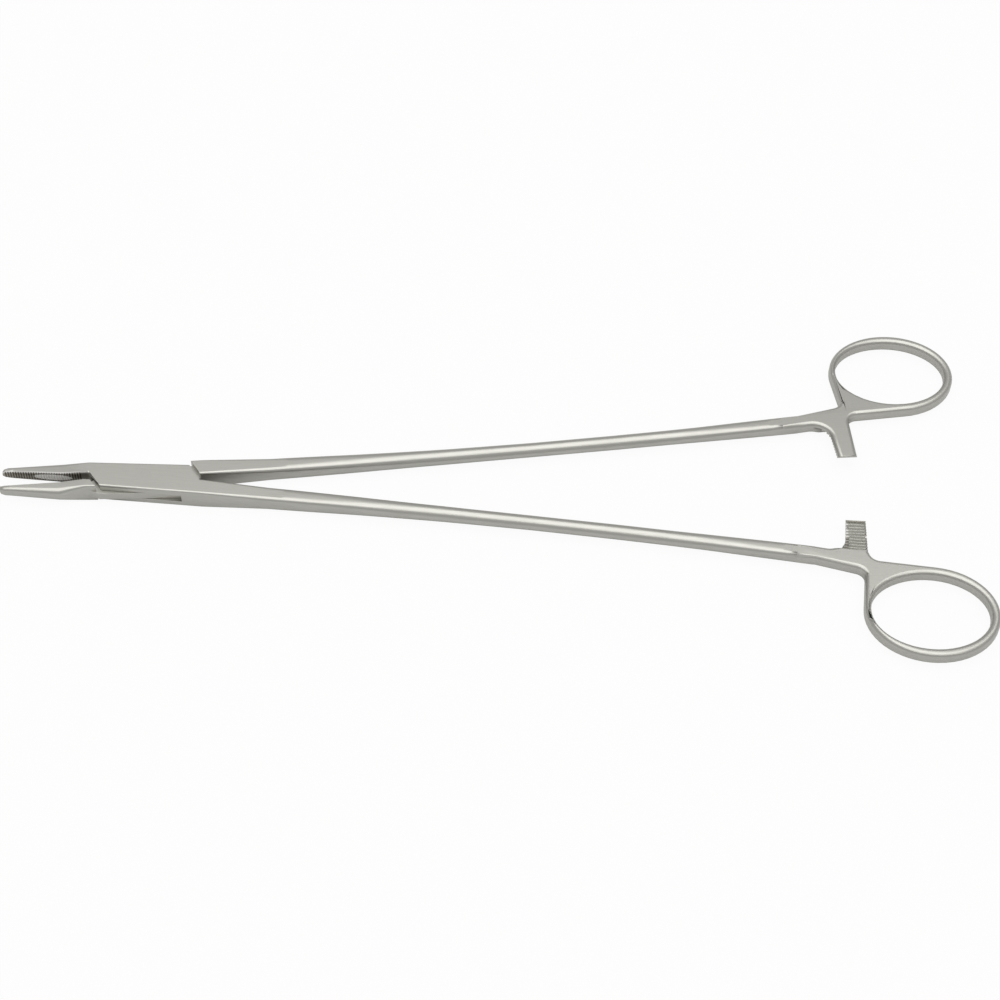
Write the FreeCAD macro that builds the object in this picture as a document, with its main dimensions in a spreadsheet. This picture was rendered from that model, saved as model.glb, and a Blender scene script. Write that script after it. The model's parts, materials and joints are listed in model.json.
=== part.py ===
"""Surgical needle holder: two box-locked steel halves on one riveted pin.

Millimetres. The pin's axis is Z, the rings lie towards +X and the jaws towards -X. The underside of the
box lies on Z = 0, where the instrument rests. Each half is a single forging: jaw, box or tongue, shank,
ratchet arm and finger ring. Both are drawn with the jaws shut, shank on +Y, mid-plane at Z = 0; the box
half is the one that is turned over, and both are then swung apart by half of the opening.
"""

import FreeCAD, Part
import math
import os
import re
import Sketcher
from FreeCAD import Vector

SIZES = {
    # The box lock and its pin
    "box_thick": 6.2,
    "box_width": 9.34,
    "box_reach": 15.0,
    "box_round": 0.6,
    "cheek_setback": 3.6,
    "slot_reach": 10.6,
    "slot_height": 2.4,
    "slot_play": 0.05,
    "wall_play": 0.12,
    "shoulder_gap": 0.15,
    "shoulder_setback": 2.8,
    "box_jaw_inset": 0.35,
    "tongue_jaw_inset": 1.2,
    "root_length": 1.0,
    "halves_gap": 0.04,
    "pin_width": 3.0,
    "pin_head_width": 4.2,
    "pin_head_depth": 0.6,
    "pin_play": 0.03,
    # The jaws
    "jaw_length": 39.75,
    "tip_width": 0.9,
    "tip_height": 1.5,
    "tip_round": 0.4,
    "nose_length": 3.0,
    "nose_width": 1.9,
    "nose_height": 3.1,
    "nose_round": 0.9,
    "grip_length": 16.5,
    "grip_width": 4.0,
    "grip_height": 4.2,
    "grip_round": 1.7,
    "serration_pitch": 0.72,
    "serration_width": 0.6,
    "serration_depth": 0.22,
    "serration_margin": 0.9,
    "serration_count": 30,
    "hollow_length": 10.9,
    "hollow_height": 2.4,
    "hollow_depth": 0.45,
    "hollow_margin": 8.55,
    # The shanks
    "shank_lean": 1.53,
    "shank_bow_radius": 2630.0,
    "neck_place": 34.0,
    "neck_width": 4.7,
    "neck_height": 4.8,
    "neck_round": 1.1,
    "waist_place": 107.0,
    "waist_width": 4.0,
    "waist_height": 4.0,
    "waist_round": 1.9,
    "handle_place": 178.0,
    "handle_width": 4.3,
    "handle_thick": 4.0,
    "handle_round": 1.25,
    "handle_bevel": 0.75,
    "handle_run": 5.0,
    # The finger rings
    "ring_place": 212.4,
    "ring_spread": 29.6,
    "ring_turn": 3.5,
    "ring_hole_length": 31.4,
    "ring_hole_width": 24.0,
    "ring_bar": 2.7,
    "ring_near_bar": 1.75,
    "ring_far_bar": 2.4,
    "ring_rise": 4.3,
    "junction_place": 196.0,
    "junction_rise": 4.0,
    "junction_round": 2.6,
    # The ratchet arms
    "arm_place": 194.6,
    "arm_width": 5.25,
    "arm_taper": 0.9,
    "arm_past": 1.6,
    "arm_play": 0.1,
    "arm_near_round": 5.0,
    "arm_far_round": 3.0,
    "arm_ramp": 1.0,
    "arm_tip_thick": 0.8,
    "tooth_pitch": 1.0,
    "tooth_width": 0.9,
    "tooth_depth": 0.55,
    "tooth_margin": 1.1,
    "tooth_side_margin": 0.4,
    "tooth_count": 10,
    # The pose in which the instrument lies
    "opening": 7.0,
}

doc = FreeCAD.newDocument("needle_holder")
sheet = doc.addObject("Spreadsheet::Sheet", "Sizes")


def fill_sheet():
    """Write each size into a cell of its own, under its own name."""
    for row, (name, size) in enumerate(SIZES.items(), start=1):
        sheet.set(f"A{row}", name)
        sheet.set(f"B{row}", str(size))
        sheet.setAlias(f"B{row}", name)
    doc.recompute()


def named(formula):
    """Give a formula of size names in the form that an object's expression reads."""
    return re.sub(r"[a-z_]+", lambda word: f"Sizes.{word[0]}" if word[0] in SIZES else word[0], formula)


def value(formula):
    """Work out a formula of size names."""
    result = sheet.evalExpression(formula)
    return float(getattr(result, "Value", result))


def bind(item, path, formula):
    """Tie one property of an object to a formula of size names."""
    item.setExpression(path, named(formula))


def distance(sketch, kind, geometry, point, formula):
    """Hold one point of a sketch at a distance from its origin, along X or along Y."""
    place = Sketcher.Constraint(kind, -1, 1, geometry, point, value(formula))
    bind(sketch, f"Constraints[{sketch.addConstraint(place)}]", formula)


def new_sketch(name, height="0"):
    """Start a sketch that is parallel to the mid-plane, at a height above it."""
    sketch = doc.addObject("Sketcher::SketchObject", name)
    bind(sketch, "Placement.Base.z", height)
    return sketch


def cross_sketch(name, x, y="0", turn="0deg"):
    """Start a sketch that stands across the piece: its X is the piece's Y and its Y is the piece's Z."""
    sketch = doc.addObject("Sketcher::SketchObject", name)
    bind(sketch, "Placement", f"placement(vector({x}; {y}; 0); rotation(90deg + {turn}; 0deg; 90deg))")
    return sketch


def add_polygon(sketch, corners):
    """Draw a closed outline of straight edges, each corner a pair of formulas."""
    spots = [Vector(value(x), value(y), 0) for x, y in corners]
    first = sketch.GeometryCount
    for start, end in zip(spots, spots[1:] + spots[:1]):
        sketch.addGeometry(Part.LineSegment(start, end))
    for index, (x, y) in enumerate(corners):
        edge = first + index
        following = first + (index + 1) % len(corners)
        sketch.addConstraint(Sketcher.Constraint("Coincident", edge, 2, following, 1))
        distance(sketch, "DistanceX", edge, 1, x)
        distance(sketch, "DistanceY", edge, 1, y)
    return sketch


def add_section(sketch, inner, outer, height, rounding, square_inside=False):
    """Draw the section of a bar between two places, with its corners rounded.

    A jaw's section stays square on the inside, where its gripping face is.
    """
    left, right = min(value(inner), value(outer)), max(value(inner), value(outer))
    top, radius = value(height) / 2, value(rounding)
    spots = [Vector(right, -top, 0), Vector(right, top, 0), Vector(left, top, 0), Vector(left, -top, 0)]
    cuts = [0 if square_inside and spot.x == value(inner) else radius for spot in spots]
    lines = []
    for index, spot in enumerate(spots):
        following = (index + 1) % 4
        reach = (spots[following] - spot).normalize()
        lines.append((spot + reach * cuts[index], spots[following] - reach * cuts[following]))
        sketch.addGeometry(Part.LineSegment(*lines[index]))
        sketch.addConstraint(Sketcher.Constraint("Horizontal" if index % 2 else "Vertical", index))
    for index, spot in enumerate(spots):
        before = (index - 1) % 4
        if not cuts[index]:
            sketch.addConstraint(Sketcher.Constraint("Coincident", before, 2, index, 1))
            continue
        begin, end = lines[before][1], lines[index][0]
        centre = begin + end - spot
        middle = centre + (spot - centre).normalize() * radius
        arc = sketch.addGeometry(Part.Arc(begin, middle, end))
        sketch.addConstraint(Sketcher.Constraint("Tangent", before, 2, arc, 1))
        sketch.addConstraint(Sketcher.Constraint("Tangent", arc, 2, index, 1))
        size = Sketcher.Constraint("Radius", arc, radius)
        bind(sketch, f"Constraints[{sketch.addConstraint(size)}]", rounding)
    right_side, left_side = (inner, outer) if value(inner) > value(outer) else (outer, inner)
    distance(sketch, "DistanceX", 0, 1, right_side)
    distance(sketch, "DistanceY", 1, 1, f"({height}) / 2")
    distance(sketch, "DistanceX", 2, 1, left_side)
    distance(sketch, "DistanceY", 3, 1, f"-({height}) / 2")
    return sketch


def add(kind, name, **settings):
    """Add an object and set its plain properties."""
    item = doc.addObject(kind, name)
    for key, setting in settings.items():
        setattr(item, key, setting)
    return item


def extrude(name, sketch, height, symmetric=True):
    """Raise a sketch into a solid, evenly to both sides or to one."""
    item = add("Part::Extrusion", name, Base=sketch, DirMode="Normal", Solid=True, Symmetric=symmetric)
    bind(item, "LengthFwd", height)
    return item


def fuse(name, *pieces):
    """Join pieces into one solid."""
    return add("Part::MultiFuse", name, Shapes=list(pieces), Refine=True)


def cut(name, base, *tools):
    """Take tools away from a piece."""
    whole = tools[0] if len(tools) == 1 else add("Part::Compound", f"{name}_tools", Links=list(tools))
    return add("Part::Cut", name, Base=base, Tool=whole, Refine=True)


def dress_edges(kind, name, base, choose, formula):
    """Round or bevel those edges of a solid that a test picks by their place."""
    doc.recompute()
    size = value(formula)
    picked = [index for index, edge in enumerate(base.Shape.Edges, start=1) if choose(edge)]
    item = add(kind, name, Base=base)
    item.Edges = [(index, size, size) for index in picked]
    doc.recompute()
    return item


def round_edges(name, base, choose, rounding):
    """Round the edges that a test picks."""
    return dress_edges("Part::Fillet", name, base, choose, rounding)


def is_upright(edge):
    """Tell whether an edge runs straight along Z."""
    box = edge.BoundBox
    return box.XLength < 1e-4 and box.YLength < 1e-4


def is_level(edge):
    """Tell whether an edge stays at one height."""
    return edge.BoundBox.ZLength < 1e-4


def is_beside(edge, spot):
    """Tell whether an edge's middle lies at a place in plan."""
    middle = edge.BoundBox.Center
    return Vector(middle.x - spot[0], middle.y - spot[1], 0).Length < 0.02


def solved(sketch, geometry, point=1):
    """Where a point of a sketch lies once its constraints are met."""
    spot = sketch.Placement.multVec(sketch.getPoint(geometry, point))
    return spot.x, spot.y


def between(first, second):
    """The point halfway between two corners."""
    return (first[0] + second[0]) / 2, (first[1] + second[1]) / 2


def side_line(place):
    """Half the width of the shut box at a place along X; it widens towards the shanks."""
    return f"(box_width / 2 + tan(shank_lean * 1deg) * ({place}))"


def blended(first, last, share):
    """Give the size that lies at a share of the way from one size to another."""
    return f"(({first}) * (1 - {share}) + ({last}) * {share})"


# A cutter stands out of the face that it cuts by this share of its depth, and one that goes right through
# is this many times as long as what it cuts
OVERSHOOT = 0.1
THROUGH = 2
# Spans between the shank's four named sections, and the turns that round the jaw's nose, in degrees
SHANK_SPANS = (1, 3, 3)
NOSE_TURNS = (0, 30, 60, 90)
GAP = "halves_gap / 2"
ROOT = "(box_reach + root_length)"
ROOT_WIDTH = f"({side_line(ROOT)} - {GAP})"
CHEEK = "(box_reach - cheek_setback)"
SHOULDER_FOOT = "(box_reach + shoulder_gap)"
SHOULDER = f"({SHOULDER_FOOT} - shoulder_setback)"
BOX_JAW_ROOT = f"({side_line(f'-{ROOT}')} - box_jaw_inset)"
TONGUE_JAW_ROOT = f"({side_line(f'-{ROOT}')} - tongue_jaw_inset)"


def shank_lean_at(place):
    """Angle of the shank's centreline to X."""
    return f"atan(tan(shank_lean * 1deg) + ({place} - {ROOT}) / shank_bow_radius)"


def shank_centre(place):
    """Distance of the shank's centreline from the closing line: a long, gentle bow."""
    run = f"({place} - {ROOT})"
    return f"({ROOT_WIDTH} / 2 + {GAP} + tan(shank_lean * 1deg) * {run} + {run} * {run} / (2 * shank_bow_radius))"


def shank_corner(place, width, across, along="0"):
    """A corner beside the shank's centreline: half its width to one side, and a step along it."""
    lean = shank_lean_at(place)
    x = f"{place} - {across} * sin({lean}) * {width} / 2 + cos({lean}) * {along}"
    y = f"{shank_centre(place)} + {across} * cos({lean}) * {width} / 2 + sin({lean}) * {along}"
    return x, y


def make_shank(half):
    """The shank: a bar that goes from the box's flat-sided section to a round waist and to the handle."""
    stations = (
        (ROOT, ROOT_WIDTH, "box_thick", "box_round"),
        ("neck_place", "neck_width", "neck_height", "neck_round"),
        ("waist_place", "waist_width", "waist_height", "waist_round"),
        ("handle_place", "handle_width", "handle_thick", "handle_round"),
    )
    steps = [(index, step / spans) for index, spans in enumerate(SHANK_SPANS) for step in range(spans)]
    steps.append((len(SHANK_SPANS) - 1, 1))
    sections = []
    for index, share in steps:
        place, width, height, rounding = (
            blended(first, last, share) for first, last in zip(stations[index], stations[index + 1]))
        name = f"{half}_shank_section_{len(sections)}"
        sketch = cross_sketch(name, place, shank_centre(place), shank_lean_at(place))
        sections.append(add_section(sketch, f"-{width} / 2", f"{width} / 2", height, rounding))
    return add("Part::Loft", f"{half}_shank", Sections=sections, Solid=True, Ruled=True)


def pattern(name, sketch, depth, pitch, count, direction):
    """A row of equal wedges, raised from one sketch and repeated along it."""
    row = doc.addObject("PartDesign::Body", name)
    row.addObject(sketch)
    wedge = row.newObject("PartDesign::Pad", f"{name}_wedge")
    wedge.Profile = sketch
    wedge.SideType = "Symmetric"
    bind(wedge, "Length", depth)
    doc.recompute()
    repeat = row.newObject("PartDesign::LinearPattern", f"{name}_row")
    repeat.Originals = [wedge]
    repeat.Direction = (sketch, [direction])
    bind(repeat, "Length", f"{pitch} * ({count} - 1)")
    bind(repeat, "Occurrences", count)
    row.Tip = repeat
    doc.recompute()
    return row


def make_jaw(half, root_width):
    """The jaw: serrated and slightly hollow inside, rounded outside, tapering to a blunt, round nose."""
    stations = []
    for turn in NOSE_TURNS:
        stations.append([f"-jaw_length + nose_length * (1 - cos({turn}deg))"] + [
            blended(f"tip_{size}", f"nose_{size}", f"sin({turn}deg)") for size in ("width", "height", "round")])
    stations.append(["-jaw_length + grip_length", "grip_width", "grip_height", "grip_round"])
    stations.append([f"-{ROOT}", root_width, "box_thick", "box_round"])
    sections = []
    for place, width, height, rounding in stations:
        sketch = cross_sketch(f"{half}_jaw_section_{len(sections)}", place)
        sections.append(add_section(sketch, f"-{GAP}", f"-{width}", height, rounding, square_inside=True))
    blank = add("Part::Loft", f"{half}_jaw_blank", Sections=sections, Solid=True, Ruled=True)

    first = "-jaw_length + serration_margin"
    mouth = f"serration_width * (1 + {OVERSHOOT}) / 2"
    groove = new_sketch(f"{half}_serration_section")
    add_polygon(groove, [
        (f"{first} - {mouth}", f"serration_depth * {OVERSHOOT} - {GAP}"),
        (first, f"-serration_depth - {GAP}"),
        (f"{first} + {mouth}", f"serration_depth * {OVERSHOOT} - {GAP}"),
    ])
    serrations = pattern(f"{half}_serrations", groove, "box_thick", "serration_pitch",
                         "serration_count", "H_Axis")
    hollow = add("Part::Ellipsoid", f"{half}_jaw_hollow")
    bind(hollow, "Radius1", "hollow_height / 2")
    bind(hollow, "Radius2", "hollow_length / 2")
    bind(hollow, "Radius3", "hollow_depth")
    bind(hollow, "Placement.Base.x", "-jaw_length + hollow_margin + hollow_length / 2")
    bind(hollow, "Placement.Base.y", f"-{GAP}")
    return cut(f"{half}_jaw", blank, serrations, hollow)


def add_ring(sketch, outside):
    """Draw the ring's slanted ellipse: all of its hole, or its outside as an arc that is open at the junction.

    The ring's bar is thinner at the ends of the hole than beside it.
    """
    place, length, width = "ring_place", "ring_hole_length", "ring_hole_width"
    if outside:
        place += " + (ring_far_bar - ring_near_bar) / 2"
        length += " + ring_near_bar + ring_far_bar"
        width += " + 2 * ring_bar"
    centre = Vector(value(place), value("ring_spread"), 0)
    long_end = centre + Vector(value(length) / 2, 0, 0)
    curve = Part.Ellipse(long_end, centre + Vector(0, value(width) / 2, 0), centre)
    if outside:
        curve = Part.ArcOfEllipse(curve, -math.pi / 2, math.pi)
    ring = sketch.addGeometry(curve)
    sketch.exposeInternalGeometry(ring)
    distance(sketch, "DistanceX", ring, 3, place)
    distance(sketch, "DistanceY", ring, 3, "ring_spread")
    for axis, length in ((ring + 1, length), (ring + 2, width)):
        across = Sketcher.Constraint("Distance", axis, 1, axis, 2, value(length))
        bind(sketch, f"Constraints[{sketch.addConstraint(across)}]", length)
    slant = Sketcher.Constraint("Angle", ring + 1, -math.radians(value("ring_turn")) - math.pi)
    bind(sketch, f"Constraints[{sketch.addConstraint(slant)}]", "-ring_turn * 1deg - 180deg")
    return ring


def make_handle_blank(half):
    """The handle's plate: ring, junction and ratchet arm in one outline, then its hole and its corners."""
    outline = doc.addObject("Sketcher::SketchObject", f"{half}_handle_outline")
    near_side, far_side = "arm_place - arm_width / 2", "arm_place + arm_width / 2"
    chain = [
        ("junction_place", f"{shank_centre('arm_place')} + junction_rise"),
        shank_corner("handle_place", "handle_width", 1, "handle_run"),
        shank_corner("handle_place", "handle_width", 1),
        shank_corner("handle_place", "handle_width", -1),
        shank_corner("handle_place", "handle_width", -1, "handle_run"),
        (f"{near_side} - arm_taper", f"{shank_centre('arm_place')} - handle_width / 2"),
        (near_side, "-arm_past"),
        (far_side, "-arm_past"),
        (far_side, None),
    ]
    left = (value("ring_place - ring_hole_length / 2 - ring_near_bar"), value("ring_spread"))
    low = (value("ring_place"), value("ring_spread - ring_hole_width / 2 - ring_bar"))
    spots = [left]
    for x, y in chain:
        spots.append((value(x), low[1] if y is None else value(y)))
    spots.append(low)
    for start, end in zip(spots, spots[1:]):
        outline.addGeometry(Part.LineSegment(Vector(*start, 0), Vector(*end, 0)))
    last = len(chain)
    for line, (x, y) in enumerate(chain, start=1):
        outline.addConstraint(Sketcher.Constraint("Coincident", line - 1, 2, line, 1))
        distance(outline, "DistanceX", line, 1, x)
        if y is not None:
            distance(outline, "DistanceY", line, 1, y)
    ring = add_ring(outline, outside=True)
    outline.addConstraint(Sketcher.Constraint("Tangent", 0, 1, ring, 2))
    outline.addConstraint(Sketcher.Constraint("Tangent", last, 2, ring, 1))
    rise = Sketcher.Constraint("Angle", last, math.radians(value("ring_rise")))
    bind(outline, f"Constraints[{outline.addConstraint(rise)}]", "ring_rise * 1deg")

    hole = doc.addObject("Sketcher::SketchObject", f"{half}_ring_hole_outline")
    add_ring(hole, outside=False)
    plate = extrude(f"{half}_handle_plate", outline, "handle_thick")
    ring_hole = extrude(f"{half}_ring_hole", hole, f"{THROUGH} * handle_thick")
    piece = cut(f"{half}_handle_blank", plate, ring_hole)
    doc.recompute()
    corners = {"junction_round": 1, "arm_near_round": 6, "arm_far_round": last}
    for rounding, line in corners.items():
        spot = solved(outline, line)
        piece = round_edges(f"{half}_{rounding}", piece,
                            lambda edge: is_upright(edge) and is_beside(edge, spot), rounding)
    start = between(solved(outline, 3), solved(outline, 4))
    tip = (value("arm_place"), -value("arm_past"))
    return dress_edges("Part::Chamfer", f"{half}_handle_bevelled", piece, lambda edge: is_level(edge)
                       and not any(is_beside(edge, spot) for spot in (start, tip)), "handle_bevel")


def make_handle(half):
    """The handle: its arm is halved in thickness, with the ratchet's teeth and a ramp on the inner face."""
    blank = make_handle_blank(half)
    near_side = "arm_place - arm_width / 2 - arm_near_round - arm_taper"
    far_side = "arm_place + arm_width / 2 + arm_far_round"
    step = new_sketch(f"{half}_arm_step_outline", "arm_play / 2 - handle_thick")
    add_polygon(step, [
        (near_side, "-arm_past - arm_width"),
        (far_side, "-arm_past - arm_width"),
        shank_corner(f"({far_side})", "handle_width", -1),
        shank_corner(f"({near_side})", "handle_width", -1),
    ])
    step_cut = extrude(f"{half}_arm_step", step, "handle_thick", symmetric=False)

    first = "-arm_past + tooth_margin"
    groove = cross_sketch(f"{half}_tooth_section", "arm_place")
    add_polygon(groove, [
        (first, f"arm_play / 2 - tooth_depth * {OVERSHOOT}"),
        (first, "arm_play / 2 + tooth_depth"),
        (f"{first} + tooth_width * (1 + {OVERSHOOT})", f"arm_play / 2 - tooth_depth * {OVERSHOOT}"),
    ])
    teeth = pattern(f"{half}_teeth", groove, "arm_width - 2 * tooth_side_margin", "tooth_pitch",
                    "tooth_count", "H_Axis")
    ramp = cross_sketch(f"{half}_ramp_section", "arm_place")
    tip_face = "handle_thick / 2 - arm_tip_thick"
    add_polygon(ramp, [
        ("-arm_past - arm_ramp", f"2 * ({tip_face}) - arm_play / 2"),
        ("-arm_past - arm_ramp", "-handle_thick"),
        ("-arm_past + arm_ramp", "-handle_thick"),
        ("-arm_past + arm_ramp", "arm_play / 2"),
    ])
    ramp_cut = extrude(f"{half}_ramp", ramp, f"{THROUGH} * arm_width")
    return cut(f"{half}_handle", blank, step_cut, teeth, ramp_cut)


def is_outer_side(edge):
    """Tell whether an edge runs along one side of the box, at its top or underside."""
    ends = [vertex.Point for vertex in edge.Vertexes]
    if len(ends) != 2 or not is_level(edge):
        return False
    along = (ends[1] - ends[0]).normalize()
    return abs(along.y) < math.sin(math.radians(2 * value("shank_lean")))


def make_rivet(name, width, head_width):
    """A riveted pin, or its seat: a rod between two flush countersunk heads."""
    profile = cross_sketch(f"{name}_profile", "0", turn="-90deg")
    add_polygon(profile, [
        ("0", "-box_thick / 2"),
        (f"{head_width} / 2", "-box_thick / 2"),
        (f"{width} / 2", "-box_thick / 2 + pin_head_depth"),
        (f"{width} / 2", "box_thick / 2 - pin_head_depth"),
        (f"{head_width} / 2", "box_thick / 2"),
        ("0", "box_thick / 2"),
    ])
    return add("Part::Revolution", name, Source=profile, Axis=(0, 0, 1), Base=(0, 0, 0), Solid=True)


def make_box():
    """The box: two cheeks with slanted ends, and the slot between them that the tongue passes through."""
    outline = new_sketch("box_outline")
    add_polygon(outline, [
        (f"-{ROOT}", f"-{GAP}"),
        ("-box_reach", f"-{GAP}"),
        (f"-{CHEEK}", side_line(f"-{CHEEK}")),
        shank_corner(ROOT, ROOT_WIDTH, 1),
        shank_corner(ROOT, ROOT_WIDTH, -1),
        ("box_reach", GAP),
        (CHEEK, f"-{side_line(CHEEK)}"),
        (f"-{ROOT}", f"-{BOX_JAW_ROOT}"),
    ])
    block = round_edges("box_rounded", extrude("box_block", outline, "box_thick"), is_outer_side, "box_round")
    slot = new_sketch("slot_outline")
    add_polygon(slot, [
        ("-slot_reach", "-box_width"),
        ("-slot_reach", f"-{side_line('-slot_reach')}"),
        ("-box_reach", "0"),
        ("-box_reach", "box_width"),
        ("slot_reach", "box_width"),
        ("slot_reach", side_line("slot_reach")),
        ("box_reach", "0"),
        ("box_reach", "-box_width"),
    ])
    seat = make_rivet("box_pin_seat", "pin_width", "pin_head_width")
    return cut("box_centre", block, extrude("slot", slot, "slot_height"), seat)


def make_tongue():
    """The tongue: the thin middle of the other half, between its two thick roots, bored for the pin."""
    right = new_sketch("tongue_shank_root_outline")
    add_polygon(right, [
        (SHOULDER_FOOT, GAP),
        shank_corner(ROOT, ROOT_WIDTH, -1),
        shank_corner(ROOT, ROOT_WIDTH, 1),
        (SHOULDER, side_line(SHOULDER)),
    ])
    inset_share = f"tongue_jaw_inset / ({side_line('-' + SHOULDER)} - {GAP})"
    left = new_sketch("tongue_jaw_root_outline")
    add_polygon(left, [
        (f"-{ROOT}", f"-{GAP}"),
        (f"-{ROOT}", f"-{TONGUE_JAW_ROOT}"),
        (f"-{SHOULDER} - shoulder_setback * {inset_share}", f"-{side_line('-' + SHOULDER)} + tongue_jaw_inset"),
        (f"-{SHOULDER_FOOT}", f"-{GAP}"),
    ])
    thin = new_sketch("tongue_outline")
    reach, foot = "(slot_reach - wall_play)", "(box_reach - wall_play)"
    add_polygon(thin, [
        (f"-{reach}", side_line(f"-{reach}")),
        (f"-{foot}", f"-{GAP}"),
        (f"-{ROOT}", f"-{GAP}"),
        (f"-{ROOT}", f"-{TONGUE_JAW_ROOT} + box_round"),
        (f"-{SHOULDER}", f"-{side_line('-' + SHOULDER)}"),
        (reach, f"-{side_line(reach)}"),
        (foot, GAP),
        shank_corner(ROOT, ROOT_WIDTH, -1),
        (ROOT, f"{side_line(ROOT)} - box_round"),
    ])
    roots = [round_edges(f"{sketch.Name}_rounded", extrude(f"{sketch.Name}_block", sketch, "box_thick"),
                         is_outer_side, "box_round") for sketch in (right, left)]
    web = extrude("tongue_web", thin, "slot_height - 2 * slot_play")
    bore = add("Part::Cylinder", "tongue_bore")
    bind(bore, "Radius", "pin_width / 2 + pin_play")
    bind(bore, "Height", "box_thick")
    bind(bore, "Placement.Base.z", "-box_thick / 2")
    return cut("tongue_centre", fuse("tongue_whole", web, *roots), bore)


def make_half(half, centre, jaw_root_width):
    """One forging: jaw, centre, shank and handle in one piece."""
    return fuse(f"{half}_half", make_jaw(half, jaw_root_width), centre, make_shank(half), make_handle(half))


def place_pieces(box_half, tongue_half, box_pin):
    """Lay the pieces on the ground, the box half turned over, each half swung by half of the opening."""
    lift = "vector(0; 0; box_thick / 2)"
    bind(tongue_half, "Placement", f"placement({lift}; rotation(opening / 2 * 1deg; 0deg; 0deg))")
    bind(box_half, "Placement", f"placement({lift}; rotation(-opening / 2 * 1deg; 0deg; 180deg))")
    bind(box_pin, "Placement", f"placement({lift}; rotation(0deg; 0deg; 0deg))")


def check(pieces):
    """Stop if an object failed or a piece is not one sound solid."""
    for item in doc.Objects:
        if {"Invalid", "Error"} & set(item.State):
            raise RuntimeError(f"{item.Name} failed: {item.State}")
    for piece in pieces:
        shape = piece.Shape
        if shape.isNull() or not shape.isValid() or len(shape.Solids) != 1:
            raise RuntimeError(f"{piece.Name} is not one valid solid: {len(shape.Solids)}")
        print(piece.Label, round(shape.Volume, 2), shape.BoundBox)


fill_sheet()
pieces = [
    make_half("box", make_box(), BOX_JAW_ROOT),
    make_half("tongue", make_tongue(), TONGUE_JAW_ROOT),
    make_rivet("box_pin", "pin_width", "pin_head_width"),
]
place_pieces(*pieces)
doc.recompute()
check(pieces)
os.makedirs("parts", exist_ok=True)
for piece in pieces:
    piece.Shape.exportStep(f"parts/{piece.Label}.step")
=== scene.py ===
"""A long surgical needle holder of satin stainless steel, lying slightly open on a white sweep.

Two forged halves cross in a box lock on one riveted pin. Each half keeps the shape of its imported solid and
is dressed here: its shank becomes a round rod, its finger ring gets a rounded bar, its ratchet notches that
reach both sides of the arm, its crisp edges a fine break, and its faces their finishes.
"""

import json
import logging
import math
from dataclasses import dataclass
from enum import Enum

import bmesh
import bpy
from mathutils import Matrix, Vector
from mathutils.bvhtree import BVHTree
from mathutils.kdtree import KDTree

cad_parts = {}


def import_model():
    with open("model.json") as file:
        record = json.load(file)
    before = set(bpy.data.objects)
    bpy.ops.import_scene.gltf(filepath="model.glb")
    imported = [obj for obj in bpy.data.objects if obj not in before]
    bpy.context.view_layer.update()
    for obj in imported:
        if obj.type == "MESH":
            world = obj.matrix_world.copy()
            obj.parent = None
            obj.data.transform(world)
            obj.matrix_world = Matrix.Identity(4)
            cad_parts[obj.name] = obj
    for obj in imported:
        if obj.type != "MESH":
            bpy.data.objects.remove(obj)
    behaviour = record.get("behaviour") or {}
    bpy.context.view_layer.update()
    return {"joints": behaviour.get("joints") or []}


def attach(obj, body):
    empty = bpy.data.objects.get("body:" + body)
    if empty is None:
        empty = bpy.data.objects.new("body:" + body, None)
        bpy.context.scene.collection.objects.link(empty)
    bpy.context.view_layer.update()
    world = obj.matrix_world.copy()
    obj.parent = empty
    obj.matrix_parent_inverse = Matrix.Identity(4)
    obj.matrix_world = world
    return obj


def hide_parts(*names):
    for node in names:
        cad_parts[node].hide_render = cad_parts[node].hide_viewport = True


MM = 0.001

# The mid-plane above the underside, and each gripping face's hollow in the half's own frame, in millimetres
MID_PLANE = 3.1
HOLLOW_MIDDLE = -25.75
HOLLOW_LENGTH = 10.9
HOLLOW_HEIGHT = 2.4

log = logging.getLogger("needle_holder")


# Helpers

def linear(code: str) -> tuple[float, float, float, float]:
    """Turn an sRGB hex colour into linear red, green, blue and alpha.

    Args:
        code: The colour, such as "#A6A5A0".

    Returns:
        The four linear channels.
    """
    channels = [int(code[place:place + 2], 16) / 255 for place in (1, 3, 5)]
    bent = [c / 12.92 if c <= 0.04045 else ((c + 0.055) / 1.055) ** 2.4 for c in channels]
    return bent[0], bent[1], bent[2], 1.0


def add_node(tree: bpy.types.NodeTree, kind: str, links: dict | None = None, values: dict | None = None,
             **settings) -> bpy.types.Node:
    """Add a node with its settings, plain values and links.

    Args:
        tree: The tree that the node goes into.
        kind: Blender's name for the node's type.
        links: For each of its inputs, by name or number, the output that feeds it.
        values: For each of its inputs, by name or number, its plain value.
        **settings: Properties of the node.

    Returns:
        The new node.
    """
    node = tree.nodes.new(kind)
    for key, setting in settings.items():
        setattr(node, key, setting)
    for socket, value in (values or {}).items():
        node.inputs[socket].default_value = value
    for socket, source in (links or {}).items():
        tree.links.new(source, node.inputs[socket])
    return node


def new_material(name: str) -> tuple[bpy.types.Material, bpy.types.NodeTree]:
    """Start a material with an empty node tree.

    Args:
        name: The material's name.

    Returns:
        The material and its tree.
    """
    material = bpy.data.materials.new(name)
    material.use_nodes = True
    material.node_tree.nodes.clear()
    return material, material.node_tree


def show(mesh: bpy.types.Mesh, name: str) -> bpy.types.Object:
    """Put a mesh into the scene as an object at the origin.

    Args:
        mesh: The mesh, with its place in its points.
        name: The object's name.

    Returns:
        The new object.
    """
    piece = bpy.data.objects.new(name, mesh)
    bpy.context.scene.collection.objects.link(piece)
    return piece


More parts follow.
